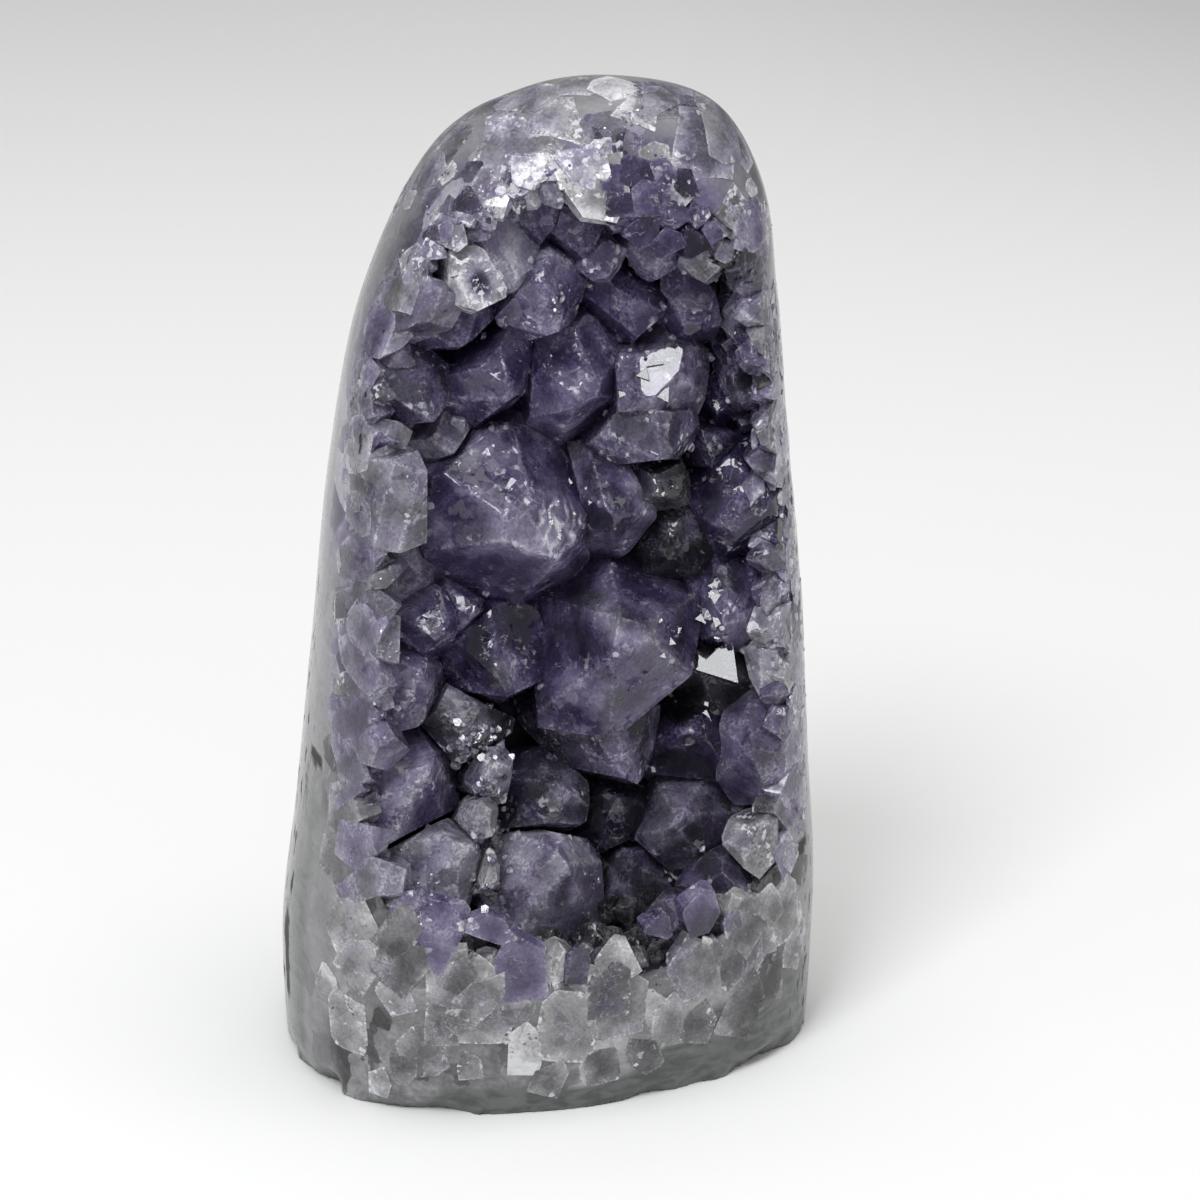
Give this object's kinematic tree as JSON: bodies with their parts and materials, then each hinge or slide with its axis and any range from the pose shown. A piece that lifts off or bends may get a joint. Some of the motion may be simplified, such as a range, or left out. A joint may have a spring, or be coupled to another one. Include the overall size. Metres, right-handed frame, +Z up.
{
  "type": "amethyst cluster",
  "caption": "Free-standing amethyst geode piece with a polished rounded body, a flat sawn base and a crystal-lined hollow in front.",
  "frame": {"origin": "middle of the flat sawn base, at the level it stands on", "axes": "+Z up along the height; -Y towards the side with the crystal-lined hollow; X across the width"},
  "size_m": [0.0544, 0.0442, 0.1003],
  "materials": {
    "geode_rock": "polished agate and quartz, banded grey-green rind grading to pale lavender quartz",
    "amethyst_deep": "glassy crystal faces, translucent, very dark violet",
    "amethyst_mid": "glassy crystal faces, translucent, violet with milky zones",
    "amethyst_pale": "glassy crystal faces, translucent, pale lavender",
    "quartz_clear": "glassy broken faces, clear to white with bright flaws"
  },
  "bodies": {
    "root": {"geode_body": "geode_rock", "crystal_great_left": "amethyst_mid", "crystal_great_right": "amethyst_deep", "crystal_window": "amethyst_mid", "crystal_below_window": "amethyst_pale", "crystal_upper_left": "amethyst_mid", "crystal_white_diamond": "quartz_clear", "crystal_milky": "amethyst_pale", "crystal_top_grey": "quartz_clear", "crystal_top_dark": "amethyst_deep", "crystal_striped": "amethyst_mid", "crystal_top_inner_left": "amethyst_deep", "crystal_top_inner_right": "amethyst_deep", "crystal_light_edged": "amethyst_mid", "crystal_upper_centre": "amethyst_deep", "crystal_upper_grey": "amethyst_mid", "crystal_top_left": "amethyst_deep", "crystal_upper_right": "amethyst_mid", "crystal_upper_mid_right": "amethyst_mid", "crystal_right_shoulder": "amethyst_mid", "crystal_right_upper_dark": "amethyst_deep", "crystal_right_cavity": "amethyst_deep", "crystal_left_shoulder": "amethyst_mid", "crystal_left_cavity": "amethyst_deep", "crystal_vivid": "amethyst_deep", "crystal_upper_left_inner": "amethyst_deep", "crystal_centre_upper": "amethyst_mid", "crystal_centre": "amethyst_mid", "crystal_dark_glint": "amethyst_deep", "crystal_dark_centre": "amethyst_deep", "crystal_right_large": "amethyst_mid", "crystal_right_inner": "amethyst_deep", "crystal_right_lower": "amethyst_mid", "crystal_right_light": "amethyst_pale", "crystal_right_clear": "quartz_clear", "crystal_left_grey": "amethyst_mid", "crystal_left_pyramid": "amethyst_deep", "crystal_left_purple": "amethyst_mid", "crystal_left_dark": "amethyst_deep", "crystal_left_smooth": "amethyst_mid", "crystal_left_inner": "amethyst_deep", "crystal_sparkle": "quartz_clear", "crystal_lobe_upper": "quartz_clear", "crystal_lobe_middle": "quartz_clear", "crystal_lobe_lower": "quartz_clear", "crystal_lower_left_large": "amethyst_mid", "crystal_below_great_right": "amethyst_mid", "crystal_mirror": "amethyst_deep", "crystal_right_pink": "amethyst_pale", "crystal_lower_lavender": "amethyst_mid", "crystal_black": "amethyst_deep", "crystal_lower_striped": "amethyst_deep", "crystal_lower_right": "amethyst_mid", "crystal_right_white": "quartz_clear", "crystal_lower_small": "amethyst_mid", "crystal_lower_facet": "amethyst_mid", "crystal_inner_black": "amethyst_deep", "crystal_lower_left_grey": "amethyst_pale", "crystal_inner_dark": "amethyst_deep", "crystal_bottom_left": "amethyst_mid"}
  },
  "joints": []
}
